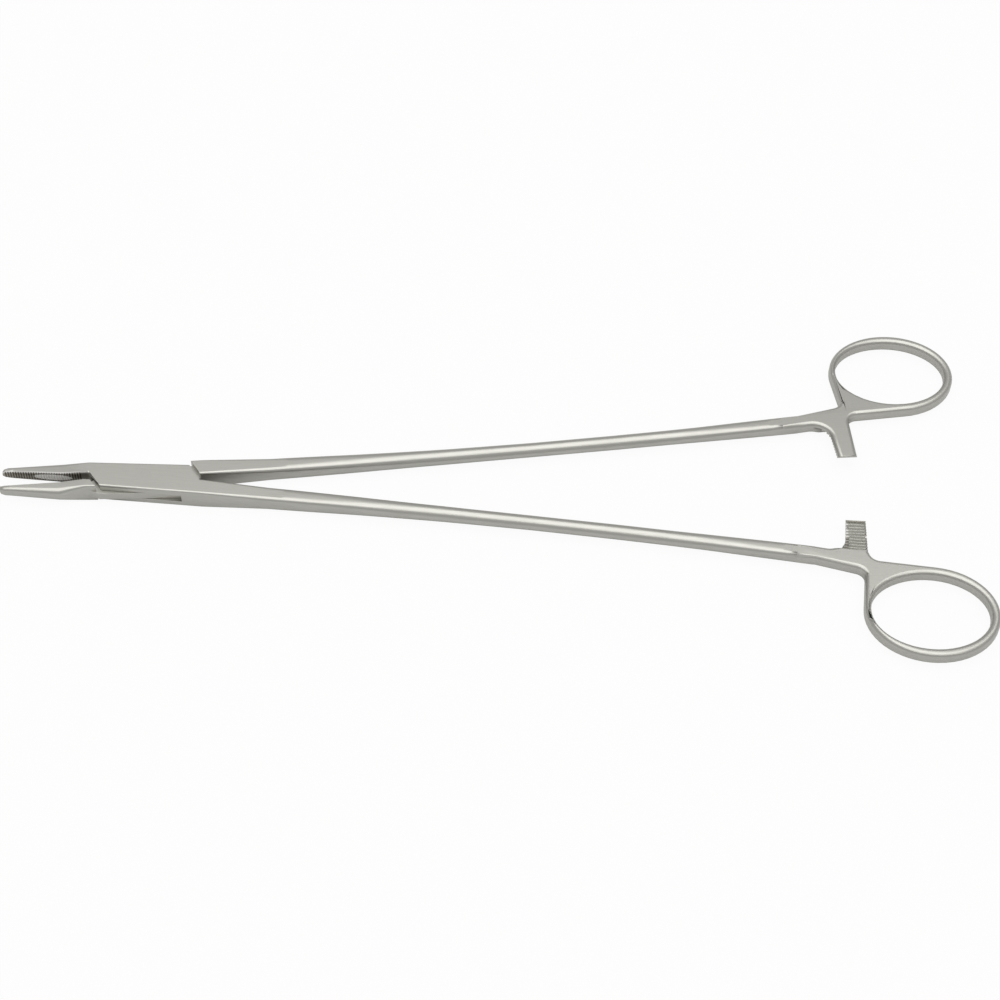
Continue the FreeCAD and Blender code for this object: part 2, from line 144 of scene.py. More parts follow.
def bake(piece: bpy.types.Object) -> None:
    """Replace an object's mesh by what its modifiers make of it, and remove them."""
    graph = bpy.context.evaluated_depsgraph_get()
    mesh = bpy.data.meshes.new_from_object(piece.evaluated_get(graph), depsgraph=graph)
    piece.modifiers.clear()
    old = piece.data
    piece.data = mesh
    mesh.name = piece.name
    if isinstance(old, bpy.types.Mesh):
        bpy.data.meshes.remove(old)


# Finishes

@dataclass(frozen=True)
class SatinSteel:
    """Martensitic stainless steel, forged and then brushed or blasted to a satin that doesn't dazzle.

    The eye sees a soft warm grey with hair-fine lines along the piece, and broad highlights.
    """

    name: str
    dark: str
    light: str
    roughness: float
    roughness_spread: float
    grain_length_mm: float
    grain_width_mm: float
    bump_mm: float
    cloud_mm: float = 9.0
    swing_deg: float = 0.0

    def build(self) -> bpy.types.Material:
        """Make the material.

        Returns:
            The finished material.
        """
        material, tree = new_material(self.name)
        place = add_node(tree, "ShaderNodeTexCoord").outputs["Object"]
        along = add_node(tree, "ShaderNodeMapping", {"Vector": place}, {
            "Rotation": (0, 0, math.radians(self.swing_deg)),
            "Scale": (self.grain_length_mm * MM, self.grain_width_mm * MM, self.grain_width_mm * MM),
        }, vector_type="TEXTURE")
        grain = add_node(tree, "ShaderNodeTexNoise", {"Vector": along.outputs[0]}, {
            "Scale": 1.0, "Detail": 2.0, "Roughness": 0.6}).outputs[0]
        cloud = add_node(tree, "ShaderNodeTexNoise", {"Vector": place}, {
            "Scale": 1 / (self.cloud_mm * MM), "Detail": 3.0, "Roughness": 0.55}).outputs[0]
        mixed = add_node(tree, "ShaderNodeMix", {"A": grain, "B": cloud}, {"Factor": 0.4}).outputs[0]
        spread = add_node(tree, "ShaderNodeMapRange", {"Value": mixed}, {
            "From Min": 0.3, "From Max": 0.7}).outputs[0]
        colour = add_node(tree, "ShaderNodeMix", {0: spread}, {
            6: linear(self.dark), 7: linear(self.light)}, data_type="RGBA").outputs[2]
        polish = add_node(tree, "ShaderNodeMapRange", {"Value": mixed}, {
            "From Min": 0.3, "From Max": 0.7,
            "To Min": self.roughness + self.roughness_spread,
            "To Max": self.roughness - self.roughness_spread}).outputs[0]
        relief = add_node(tree, "ShaderNodeBump", {"Height": grain}, {
            "Strength": 1.0, "Distance": self.bump_mm * MM}).outputs[0]
        steel = add_node(tree, "ShaderNodeBsdfPrincipled", {
            "Base Color": colour, "Roughness": polish, "Normal": relief}, {"Metallic": 1.0})
        add_node(tree, "ShaderNodeOutputMaterial", {"Surface": steel.outputs[0]})
        return material


@dataclass(frozen=True)
class SerratedSteel:
    """Stainless steel with ground serrations: grey crests over grooves whose colour is darkened with depth
    as painted shade.

    The closing plane is where the crests are, so the distance from it tells how deep a spot lies. The
    lens-shaped hollow is painted near-white all over, a painted highlight.
    """

    name: str
    crest: str
    groove_shade: str
    hollow: str
    roughness: float
    swing_deg: float
    crest_mm: float = 0.05
    groove_mm: float = 0.16
    grit_mm: float = 0.15
    bump_mm: float = 0.01
    mottle: float = 0.25
    hollow_rim: float = 0.92
    hollow_middle_mm: tuple[float, float, float] = (HOLLOW_MIDDLE, 0.0, MID_PLANE)
    hollow_reach_mm: tuple[float, float] = (HOLLOW_LENGTH / 2, HOLLOW_HEIGHT / 2)

    def build(self) -> bpy.types.Material:
        """Make the material.

        Returns:
            The finished material.
        """
        material, tree = new_material(self.name)
        place = add_node(tree, "ShaderNodeTexCoord").outputs["Object"]
        own = add_node(tree, "ShaderNodeMapping", {"Vector": place}, {
            "Rotation": (0, 0, math.radians(self.swing_deg)), "Scale": (MM, MM, MM)}, vector_type="TEXTURE")
        across = add_node(tree, "ShaderNodeSeparateXYZ", {0: own.outputs[0]}).outputs["Y"]
        depth = add_node(tree, "ShaderNodeMath", {0: across}, operation="ABSOLUTE").outputs[0]
        grit = add_node(tree, "ShaderNodeTexNoise", {"Vector": place}, {
            "Scale": 1 / (self.grit_mm * MM), "Detail": 2.0}).outputs[0]
        # Painted shade: the colour darkens from the crests' depth to the grooves', with random grit mixed in
        sunk = add_node(tree, "ShaderNodeMapRange", {"Value": depth}, {
            "From Min": self.crest_mm, "From Max": self.groove_mm}).outputs[0]
        grit_and_groove_shade = add_node(tree, "ShaderNodeMath", {0: grit, 2: sunk}, {1: self.mottle},
                           operation="MULTIPLY_ADD")
        colour = add_node(tree, "ShaderNodeMix", {0: grit_and_groove_shade.outputs[0]}, {
            6: linear(self.crest), 7: linear(self.groove_shade)}, data_type="RGBA").outputs[2]
        # Painted highlight: the lens-shaped hollow is coloured near-white, fading out towards its rim
        long, high = self.hollow_reach_mm
        offset = add_node(tree, "ShaderNodeVectorMath", {0: own.outputs[0]}, {1: self.hollow_middle_mm},
                          operation="SUBTRACT").outputs[0]
        share = add_node(tree, "ShaderNodeVectorMath", {0: offset}, {1: (1 / long, 0.0, 1 / high)},
                         operation="MULTIPLY").outputs[0]
        reach = add_node(tree, "ShaderNodeVectorMath", {0: share}, operation="LENGTH").outputs["Value"]
        outside_hollow_highlight = add_node(tree, "ShaderNodeMapRange", {"Value": reach}, {
            "From Min": self.hollow_rim, "From Max": 1.0}).outputs[0]
        colour = add_node(tree, "ShaderNodeMix", {0: outside_hollow_highlight, 7: colour}, {
            6: linear(self.hollow)}, data_type="RGBA").outputs[2]
        relief = add_node(tree, "ShaderNodeBump", {"Height": grit}, {
            "Strength": 1.0, "Distance": self.bump_mm * MM}).outputs[0]
        steel = add_node(tree, "ShaderNodeBsdfPrincipled", {"Base Color": colour, "Normal": relief}, {
            "Metallic": 1.0, "Roughness": self.roughness})
        add_node(tree, "ShaderNodeOutputMaterial", {"Surface": steel.outputs[0]})
        return material


@dataclass(frozen=True)
class TurnedSteel:
    """Stainless rod, turned and then ground flush: the eye sees fine rings round its middle."""

    name: str
    dark: str
    light: str
    roughness: float
    ring_mm: float
    bump_mm: float

    # A wave of scale 1 comes back after this share of a unit
    WAVE_PERIOD = 2 * math.pi / 20

    def build(self) -> bpy.types.Material:
        """Make the material.

        Returns:
            The finished material.
        """
        material, tree = new_material(self.name)
        place = add_node(tree, "ShaderNodeTexCoord").outputs["Object"]
        rings = add_node(tree, "ShaderNodeTexWave", {"Vector": place}, {
            "Scale": self.WAVE_PERIOD / (self.ring_mm * MM), "Distortion": 0.6, "Detail": 2.0,
        }, wave_type="RINGS", rings_direction="Z").outputs["Fac"]
        colour = add_node(tree, "ShaderNodeMix", {0: rings}, {
            6: linear(self.dark), 7: linear(self.light)}, data_type="RGBA").outputs[2]
        relief = add_node(tree, "ShaderNodeBump", {"Height": rings}, {
            "Strength": 1.0, "Distance": self.bump_mm * MM}).outputs[0]
        steel = add_node(tree, "ShaderNodeBsdfPrincipled", {"Base Color": colour, "Normal": relief}, {
            "Metallic": 1.0, "Roughness": self.roughness})
        add_node(tree, "ShaderNodeOutputMaterial", {"Surface": steel.outputs[0]})
        return material


class Side(Enum):
    """The half that a forging is, by the side of the closing line on which its shank lies."""

    TONGUE = 1
    BOX = -1


class Zone(Enum):
    """A region of a half that has a finish of its own; its value is the material's index."""

    SATIN = 0
    GRIP = 1
    # The serrations' bevelled ends, coloured near-white as a painted highlight
    LIP = 2


# The halves

@dataclass
class Forging:
    """One half: jaw, box or tongue, shank, ratchet arm and finger ring in one forging.

    Its own frame is that of the shut instrument, with the pin's axis at the origin. Sizes are millimetres.
    """

    node: str
    body: str
    side: Side
    swing_deg: float
    middle: float = MID_PLANE
    grip_end: float = -16.1
    grip_depth: float = 0.5
    grip_facing: float = 0.3
    root_end: float = 25.0
    rod_start: float = 38.0
    rod_end: float = 175.0
    rod_seam: float = 1.0
    rod_steps: int = 34
    rod_sides: int = 32
    rod_fade_in: float = 55.0
    rod_fade_out: float = 35.0
    handle_start: float = 180.5
    arm_start: float = 190.0
    arm_end: float = 199.0
    arm_reach: float = 10.0
    arm_slope: float = 0.5
    teeth_half_height: float = 0.7
    level_slope: float = 0.2
    bar_bend_deg: tuple[float, float] = (25.0, 62.0)
    lip_stations: tuple[tuple[float, float], ...] = (
        (-39.75, 0.75), (-38.9, 1.3), (-36.75, 1.55), (-23.25, 2.1), (-16.0, 3.1))
    lip_width: float = 0.4
    notch_spot: tuple[float, float] = (194.6, -0.495)
    notch_length: float = 9.0
    notch_pitch: float = 1.0
    notch_width: float = 0.95
    notch_depth: float = 0.58
    notch_count: int = 10
    bar_round: float = 0.5
    edge_break: float = 0.11
    break_length: float = 1.4
    room_share: float = 0.44
    segments: int = 3
    sharp_deg: float = 31.0
    cut_slack: float = 1.0

    def frame_matrix(self) -> Matrix:
        """Turn from the half's own frame to where it lies, in metres."""
        over = Matrix.Rotation(math.pi, 4, "X") if self.side is Side.BOX else Matrix.Identity(4)
        lift = Matrix.Translation((0, 0, self.middle * MM))
        return lift @ Matrix.Rotation(math.radians(self.swing_deg), 4, "Z") @ over

    def place_matrix(self) -> Matrix:
        """Turn from millimetres in the half's own frame to metres where it lies."""
        return self.frame_matrix() @ Matrix.Scale(MM, 4)

    def merged(self) -> bmesh.types.BMesh:
        """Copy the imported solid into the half's own frame and join its loose triangles into whole faces.

        Returns:
            The copy, in millimetres.
        """
        form = bmesh.new()
        form.from_mesh(bpy.data.objects[self.node].data)
        form.transform(self.place_matrix().inverted())
        bmesh.ops.remove_doubles(form, verts=form.verts, dist=0.001)
        for slack_deg, start in ((0.2, -math.inf), (1.5, self.handle_start)):
            verts = [vert for vert in form.verts if vert.co.x > start]
            inside = set(verts)
            edges = [edge for edge in form.edges if set(edge.verts) <= inside]
            bmesh.ops.dissolve_limit(form, angle_limit=math.radians(slack_deg), verts=verts, edges=edges)
        return form

    def rod_sections(self, form: bmesh.types.BMesh) -> list[list[Vector]]:
        """Work out the sections of the rod: those of the solid, rounder towards the middle of the rod.

        Args:
            form: The half, with its shank whole.

        Returns:
            The points of each section.
        """
        skin = BVHTree.FromBMesh(form)
        near = [vert.co.y for vert in form.verts if self.root_end < vert.co.x < self.rod_start]
        middle = (min(near) + max(near)) / 2
        turns = [2 * math.pi * index / self.rod_sides for index in range(self.rod_sides)]
        sections = []
        for step in range(self.rod_steps + 1):
            inset = self.rod_seam + (
                self.rod_end - self.rod_start - 2 * self.rod_seam) * step / self.rod_steps
            x = self.rod_start + inset
            reach = [skin.ray_cast(Vector((x, middle, 0)), Vector((0, side, 0)))[3] for side in (1, -1)]
            middle += (reach[0] - reach[1]) / 2
            centre = Vector((x, middle, 0))
            outs = [Vector((0, math.cos(turn), math.sin(turn))) for turn in turns]
            radii = [skin.ray_cast(centre, out)[3] for out in outs]
            wide, high = radii[0], radii[self.rod_sides // 4]
            ends = min((x - self.rod_start) / self.rod_fade_in, (self.rod_end - x) / self.rod_fade_out, 1.0)
            share = ends * ends * (3 - 2 * ends)
            section = []
            for out, radius in zip(outs, radii):
                oval = wide * high / math.hypot(high * out.y, wide * out.z)
                section.append(centre + out * (radius + (oval - radius) * share))
            sections.append(section)
        return sections

    def round_rod(self, form: bmesh.types.BMesh) -> None:
        """Replace the middle of the shank by a rod of round section, joined to both flat-sided ends."""
        sections = self.rod_sections(form)
        for x in (self.rod_start, self.rod_end):
            whole = [*form.verts, *form.edges, *form.faces]
            bmesh.ops.bisect_plane(form, geom=whole, dist=0.0001, plane_co=(x, 0, 0), plane_no=(1, 0, 0))
        low, high = self.rod_start - 0.001, self.rod_end + 0.001
        old = [face for face in form.faces if all(low < vert.co.x < high for vert in face.verts)]
        bmesh.ops.delete(form, geom=old, context="FACES")
        rims = [edge for edge in form.edges if len(edge.link_faces) == 1]
        rings = [[form.verts.new(spot) for spot in section] for section in sections]
        for before, after in zip(rings, rings[1:]):
            for index in range(self.rod_sides):
                form.faces.new((before[index - 1], before[index], after[index], after[index - 1]))
        for x, ring in ((self.rod_start, rings[0]), (self.rod_end, rings[-1])):
            rim = [edge for edge in rims if all(abs(vert.co.x - x) < 0.01 for vert in edge.verts)]
            ring_edges = [form.edges.get((ring[index - 1], ring[index])) for index in range(self.rod_sides)]
            bmesh.ops.bridge_loops(form, edges=rim + ring_edges)
        bmesh.ops.recalc_face_normals(form, faces=form.faces)

    def is_bar_edge(self, edge: bmesh.types.BMEdge, bend_deg: float) -> bool:
        """Tell whether an edge bounds the bevel of the handle's bar."""
        ends = [vert.co for vert in edge.verts]
        least, most = self.bar_bend_deg
        if min(end.x for end in ends) < self.handle_start or not least < bend_deg < most:
            return False
        along = (ends[1] - ends[0]).normalized()
        on_arm = all(self.arm_start < end.x < self.arm_end and abs(end.y) < self.arm_reach for end in ends)
        return abs(along.z) < self.level_slope and not (on_arm and abs(along.y) < self.arm_slope)

    def is_crisp_edge(self, edge: bmesh.types.BMEdge, bend_deg: float) -> bool:
        """Tell whether an edge is a long, sharp corner that grinding has broken."""
        if bend_deg < self.bar_bend_deg[1] or edge.calc_length() < self.break_length:
            return False
        ends = [vert.co for vert in edge.verts]
        on_teeth = all(self.arm_start < end.x < self.arm_end and abs(end.z) < self.teeth_half_height
                       for end in ends)
        return min(end.x for end in ends) > self.grip_end and not on_teeth

    def chains(self, edges: list[bmesh.types.BMEdge]) -> list[int]:
        """Number the runs of joined edges.

        Args:
            edges: The edges.

        Returns:
            For each edge, the number of its run.
        """
        number = {edge: None for edge in edges}
        runs = 0
        for seed in edges:
            if number[seed] is not None:
                continue
            waiting = [seed]
            while waiting:
                edge = waiting.pop()
                if number[edge] is not None:
                    continue
                number[edge] = runs
                waiting += [near for vert in edge.verts for near in vert.link_edges
                            if near in number and number[near] is None]
            runs += 1
        return [number[edge] for edge in edges]

    def room(self, edges: list[bmesh.types.BMEdge]) -> list[float]:
        """Find how wide each edge can be rounded before it meets the rounding of the next run.

        Args:
            edges: The edges of the bar's bevels.

        Returns:
            For each edge, its width.
        """
        runs = self.chains(edges)
        spots, owners = [], []
        for edge, run in zip(edges, runs):
            for share in (0.0, 0.25, 0.5, 0.75, 1.0):
                spots.append(edge.verts[0].co.lerp(edge.verts[1].co, share))
                owners.append(run)
        tree = KDTree(len(spots))
        for index, spot in enumerate(spots):
            tree.insert(spot, index)
        tree.balance()
        widths = []
        for edge, run in zip(edges, runs):
            nearest = self.bar_round / self.room_share
            for vert in edge.verts:
                for _, index, reach in tree.find_range(vert.co, nearest):
                    if owners[index] != run:
                        nearest = min(nearest, reach)
            widths.append(nearest * self.room_share)
        return widths

    def dress(self, form: bmesh.types.BMesh) -> None:
        """Weigh the edges that the bevel rounds, and give each face its finish."""
        weights = form.edges.layers.float.new("bevel_weight_edge")
        bars, crisp = [], []
        for edge in form.edges:
            if len(edge.link_faces) != 2 or not edge.is_convex:
                continue
            bend_deg = math.degrees(edge.calc_face_angle(0.0))
            if self.is_bar_edge(edge, bend_deg):
                bars.append(edge)
            elif self.is_crisp_edge(edge, bend_deg):
                crisp.append(edge)
        for edge, width in zip(bars, self.room(bars)):
            edge[weights] = width / self.bar_round
        for edge in crisp:
            edge[weights] = self.edge_break / self.bar_round
        for face in form.faces:
            spot = face.calc_center_median()
            near_face = spot.x < self.grip_end and abs(spot.y) < self.grip_depth
            gripping = near_face and face.normal.y > self.grip_facing
            face.material_index = (Zone.GRIP if gripping else Zone.SATIN).value
            face.smooth = True
        log.info("%s: %d bar edges, %d crisp edges", self.node, len(bars), len(crisp))

    def cutter(self, form: bmesh.types.BMesh, name: str, zone: Zone,
               finishes: dict[Zone, bpy.types.Material]) -> bpy.types.Object:
        """Put a closed form into the half's place, to be cut away from it.

        Args:
            form: The form, in millimetres in the half's own frame.
            name: The cutter's name.
            zone: The finish that it leaves where it cuts.
            finishes: The material of each zone.

        Returns:
            The cutter.
        """
        bmesh.ops.recalc_face_normals(form, faces=form.faces)
        form.transform(self.place_matrix())
        mesh = bpy.data.meshes.new(name)
        form.to_mesh(mesh)
        form.free()
        for each in Zone:
            mesh.materials.append(finishes[each])
        mesh.polygons.foreach_set("material_index", [zone.value] * len(mesh.polygons))
        return show(mesh, name)

    def lip_cutter(self, finishes: dict[Zone, bpy.types.Material]) -> bpy.types.Object:
        """Make the bars that bevel the serrations' ends, along the gripping face's upper and lower edge.

        Args:
            finishes: The material of each zone.

        Returns:
            The cutter, in the half's place.
        """
        form = bmesh.new()
        for upward in (1, -1):
            rings = []
            for x, z in self.lip_stations:
                width = self.lip_width
                corners = ((width, 0), (0, width), (-width, 0), (0, -width))
                rings.append([form.verts.new((x, y, upward * z + up)) for y, up in corners])
            for before, after in zip(rings, rings[1:]):
                for index in range(len(before)):
                    form.faces.new((before[index - 1], before[index], after[index], after[index - 1]))
            form.faces.new(rings[0])
            form.faces.new(rings[-1])
        # The faces this cutter leaves take the near-white finish, a painted highlight on the tooth ends
        return self.cutter(form, "lip_cutter", Zone.LIP, finishes)

    def ratchet_cutter(self, finishes: dict[Zone, bpy.types.Material]) -> bpy.types.Object:
        """Make the wedges that carry the ratchet's notches through to both sides of the arm.

        Args:
            finishes: The material of each zone.

        Returns:
            The cutter, in the half's place.
        """
        form = bmesh.new()
        middle, half_length = self.notch_spot[0], self.notch_length / 2
        for step in range(self.notch_count):
            y = self.notch_spot[1] + step * self.notch_pitch
            corners = ((y, 0), (y, self.notch_depth), (y + self.notch_width, 0))
            ends = [[form.verts.new((middle + side * half_length, *corner)) for corner in corners]
                    for side in (-1, 1)]
            for index in range(len(corners)):
                form.faces.new((ends[0][index - 1], ends[0][index], ends[1][index], ends[1][index - 1]))
            for end in ends:
                form.faces.new(end)
        return self.cutter(form, "ratchet_cutter", Zone.SATIN, finishes)

    def cut_away(self, piece: bpy.types.Object, cutter: bpy.types.Object) -> None:
        """Take a cutter away from the half, and remove the cutter.

        The exact solver can lose most of a half without an error. A cut that changes how far the half
        reaches is therefore undone, with a warning.

        Args:
            piece: The half.
            cutter: The closed form to take away.
        """
        extent, spare = piece.dimensions.length, piece.data.copy()
        cut = piece.modifiers.new("cut", "BOOLEAN")
        cut.operation = "DIFFERENCE"
        cut.solver = "EXACT"
        cut.object = cutter
        bake(piece)
        bpy.context.view_layer.update()
        if abs(piece.dimensions.length - extent) > self.cut_slack * MM:
            log.warning("%s: %s is left out", piece.name, cutter.name)
            piece.data, spare = spare, piece.data
        used = cutter.data
        bpy.data.objects.remove(cutter)
        for mesh in (spare, used):
            bpy.data.meshes.remove(mesh)

    def build(self, finishes: dict[Zone, bpy.types.Material]) -> bpy.types.Object:
        """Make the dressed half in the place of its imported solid.

        Args:
            finishes: The material of each zone.

        Returns:
            The dressed half.
        """
        form = self.merged()
        self.round_rod(form)
        self.dress(form)
        form.transform(self.place_matrix())
        mesh = bpy.data.meshes.new(f"{self.node}_forging")
        form.to_mesh(mesh)
        form.free()
        for zone in Zone:
            mesh.materials.append(finishes[zone])
        piece = show(mesh, f"{self.node}_forging")
        self.cut_away(piece, self.ratchet_cutter(finishes))
        self.cut_away(piece, self.lip_cutter(finishes))
        bevel = piece.modifiers.new("rounding", "BEVEL")
        bevel.limit_method = "WEIGHT"
        bevel.width = self.bar_round * MM
        bevel.segments = self.segments
        bevel.use_clamp_overlap = False
        bevel.miter_outer = "MITER_SHARP"
        bake(piece)
        piece.data.set_sharp_from_angle(angle=math.radians(self.sharp_deg))
        normals = piece.modifiers.new("flats", "WEIGHTED_NORMAL")
        normals.keep_sharp = True
        bake(piece)
        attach(piece, self.body)
        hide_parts(self.node)
        return piece


@dataclass
class HollowRibs:
    """The ribs that cross the lens-shaped hollow of a gripping face, in line with the serrations beside it.

    They lie in the half's own frame. All sizes are millimetres.
    """

    forging: Forging
    first: float = -38.49
    pitch: float = 0.72
    count: int = 29
    hollow_middle: float = HOLLOW_MIDDLE
    hollow_length: float = HOLLOW_LENGTH
    hollow_height: float = HOLLOW_HEIGHT
    hollow_depth: float = 0.45
    face: float = -0.02
    rib_size: float = 0.2
    points: int = 9
    rim_share: float = 0.02

    def tree(self) -> bpy.types.NodeTree:
        """Build the node tree: one bent rib for each step of the pitch, as deep as the hollow is there.

        Returns:
            The tree.
        """
        tree = bpy.data.node_groups.new("ribs_across_a_hollow", "GeometryNodeTree")
        for name, kind in (("Count", "Int"), ("Pitch", "Float"), ("First", "Float"), ("Middle", "Float"),
                           ("Length", "Float"), ("Height", "Float"), ("Depth", "Float"), ("Face", "Float"),
                           ("Rib Size", "Float"), ("Points", "Int"), ("Material", "Material")):
            tree.interface.new_socket(name, in_out="INPUT", socket_type=f"NodeSocket{kind}")
        tree.interface.new_socket("Geometry", in_out="OUTPUT", socket_type="NodeSocketGeometry")
        given = add_node(tree, "NodeGroupInput").outputs

        def figure(operation: str, *terms) -> bpy.types.NodeSocket:
            """Add a sum and give its output; each term is an output or a number."""
            links = {index: term for index, term in enumerate(terms) if not isinstance(term, float)}
            values = {index: term for index, term in enumerate(terms) if isinstance(term, float)}
            return add_node(tree, "ShaderNodeMath", links, values, operation=operation).outputs[0]

        def vector(**parts) -> bpy.types.NodeSocket:
            """Join three outputs into a vector."""
            return add_node(tree, "ShaderNodeCombineXYZ", parts).outputs[0]

        start = vector(X=given["First"])
        step = vector(X=given["Pitch"])
        row = add_node(tree, "GeometryNodeMeshLine", {
            "Count": given["Count"], "Start Location": start, "Offset": step}).outputs[0]
        half_height = figure("MULTIPLY", given["Height"], 0.5)
        low = vector(Z=figure("MULTIPLY", half_height, -1.0))
        high = vector(Z=half_height)
        stroke = add_node(tree, "GeometryNodeCurvePrimitiveLine", {"Start": low, "End": high}).outputs[0]
        divided = add_node(tree, "GeometryNodeResampleCurve", {"Curve": stroke, "Count": given["Points"]})
        copies = add_node(tree, "GeometryNodeInstanceOnPoints", {
            "Points": row, "Instance": divided.outputs[0]}).outputs[0]
        strokes = add_node(tree, "GeometryNodeRealizeInstances", {"Geometry": copies}).outputs[0]

        spot = add_node(tree, "ShaderNodeSeparateXYZ", {
            0: add_node(tree, "GeometryNodeInputPosition").outputs[0]}).outputs
        half_length = figure("MULTIPLY", given["Length"], 0.5)
        along = figure("DIVIDE", figure("SUBTRACT", spot["X"], given["Middle"]), half_length)
        width_left = figure("SUBTRACT", 1.0, figure("MULTIPLY", along, along))
        inside = figure("GREATER_THAN", width_left, self.rim_share)
        across = figure("SQRT", figure("MAXIMUM", width_left, 0.0))
        up = figure("DIVIDE", spot["Z"], half_height)
        bowl = figure("SQRT", figure("MAXIMUM", figure("SUBTRACT", 1.0, figure("MULTIPLY", up, up)), 0.0))
        depth = figure("MULTIPLY", figure("MULTIPLY", bowl, across), given["Depth"])
        size = figure("MINIMUM", depth, given["Rib Size"])
        sunk = vector(X=spot["X"], Y=figure("SUBTRACT", given["Face"], depth),
                      Z=figure("MULTIPLY", spot["Z"], across))
        kept = add_node(tree, "GeometryNodeDeleteGeometry", {
            "Geometry": strokes, "Selection": figure("SUBTRACT", 1.0, inside)}).outputs[0]
        radii = add_node(tree, "GeometryNodeSetCurveRadius", {"Curve": kept, "Radius": size}).outputs[0]
        laid = add_node(tree, "GeometryNodeSetPosition", {"Geometry": radii, "Position": sunk}).outputs[0]
        section = add_node(tree, "GeometryNodeCurvePrimitiveCircle", values={
            "Resolution": 4, "Radius": 1.0}).outputs[0]
        thickness = add_node(tree, "GeometryNodeInputRadius").outputs[0]
        ribs = add_node(tree, "GeometryNodeCurveToMesh", {
            "Curve": laid, "Profile Curve": section, "Scale": thickness}, {"Fill Caps": True}).outputs[0]
        whole = add_node(tree, "GeometryNodeRealizeInstances", {"Geometry": ribs}).outputs[0]
        done = add_node(tree, "GeometryNodeSetMaterial", {"Geometry": whole, "Material": given["Material"]})
        add_node(tree, "NodeGroupOutput", {"Geometry": done.outputs[0]})
        return tree

    def build(self, finish: bpy.types.Material) -> bpy.types.Object:
        """Make the ribs of one half, as one mesh that rides on its body.

        Args:
            finish: The ribs' material.

        Returns:
            The ribs.
        """
        tree = bpy.data.node_groups.get("ribs_across_a_hollow") or self.tree()
        ribs = show(bpy.data.meshes.new("ribs"), f"{self.forging.node}_hollow_ribs")
        modifier = ribs.modifiers.new("ribs", "NODES")
        modifier.node_group = tree
        sizes = {
            "Count": self.count, "Pitch": self.pitch, "First": self.first, "Middle": self.hollow_middle,
            "Length": self.hollow_length, "Height": self.hollow_height, "Depth": self.hollow_depth,
            "Face": self.face, "Rib Size": self.rib_size, "Points": self.points, "Material": finish,
        }
        for item in tree.interface.items_tree:
            if item.name in sizes:
                modifier[item.identifier] = sizes[item.name]
        bake(ribs)
        ribs.data.transform(self.forging.place_matrix())
        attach(ribs, self.forging.body)
        return ribs


@dataclass
class Rivet:
    """The box lock's pin, ground flush with both cheeks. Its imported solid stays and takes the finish."""

    node: str = "box_pin"

    def build(self, finish: bpy.types.Material) -> bpy.types.Object:
        """Dress the pin.

        Args:
            finish: The pin's material.

        Returns:
            The pin.
        """
        pin = bpy.data.objects[self.node]
        for slot in pin.material_slots:
            slot.material = finish
        return pin


# The picture

@dataclass(frozen=True)
class PhotoCamera:
    """The camera, where the instrument's mirror symmetry and its measured points place it."""

    azimuth_deg: float = -0.8629
    elevation_deg: float = 50.6362
    roll_deg: float = 1.139
    lens_mm: float = 68.4
    sensor_mm: float = 36.0
    place_mm: tuple[float, float, float] = (92.397, -334.906, 405.2)

    def build(self) -> bpy.types.Object:
        """Set up the camera.

        Returns:
            The camera.
        """
        azimuth, elevation = math.radians(self.azimuth_deg), math.radians(self.elevation_deg)
        back = Vector((math.sin(azimuth) * math.cos(elevation), -math.cos(azimuth) * math.cos(elevation),
                       math.sin(elevation)))
        right = (-back).cross(Vector((0, 0, 1))).normalized()
        turn = Matrix.Rotation(math.radians(self.roll_deg), 3, back)
        right = turn @ right
        up = back.cross(right)
        lens = bpy.data.cameras.new("photo_camera")
        lens.lens = self.lens_mm
        lens.sensor_width = self.sensor_mm
        lens.clip_start = 10 * MM
        camera = bpy.data.objects.new("photo_camera", lens)
        camera.matrix_world = Matrix.Translation(Vector(self.place_mm) * MM) @ Matrix(
            (right, up, back)).transposed().to_4x4()
        bpy.context.scene.collection.objects.link(camera)
        bpy.context.scene.camera = camera
        return camera


@dataclass(frozen=True)
class Lamp:
    """A soft box that looks at one spot of the instrument. Sizes are metres."""

    name: str
    place: tuple[float, float, float]
    aim: tuple[float, float, float]
    width: float
    height: float
    watts: float

    def build(self) -> bpy.types.Object:
        """Hang the lamp.

        Returns:
            The lamp.
        """
        light = bpy.data.lights.new(self.name, "AREA")
        light.shape = "RECTANGLE"
        light.size = self.width
        light.size_y = self.height
        light.energy = self.watts
        lamp = bpy.data.objects.new(self.name, light)
        lamp.location = self.place
        look = Vector(self.aim) - Vector(self.place)
        lamp.rotation_euler = look.to_track_quat("-Z", "Y").to_euler()
        bpy.context.scene.collection.objects.link(lamp)
        return lamp


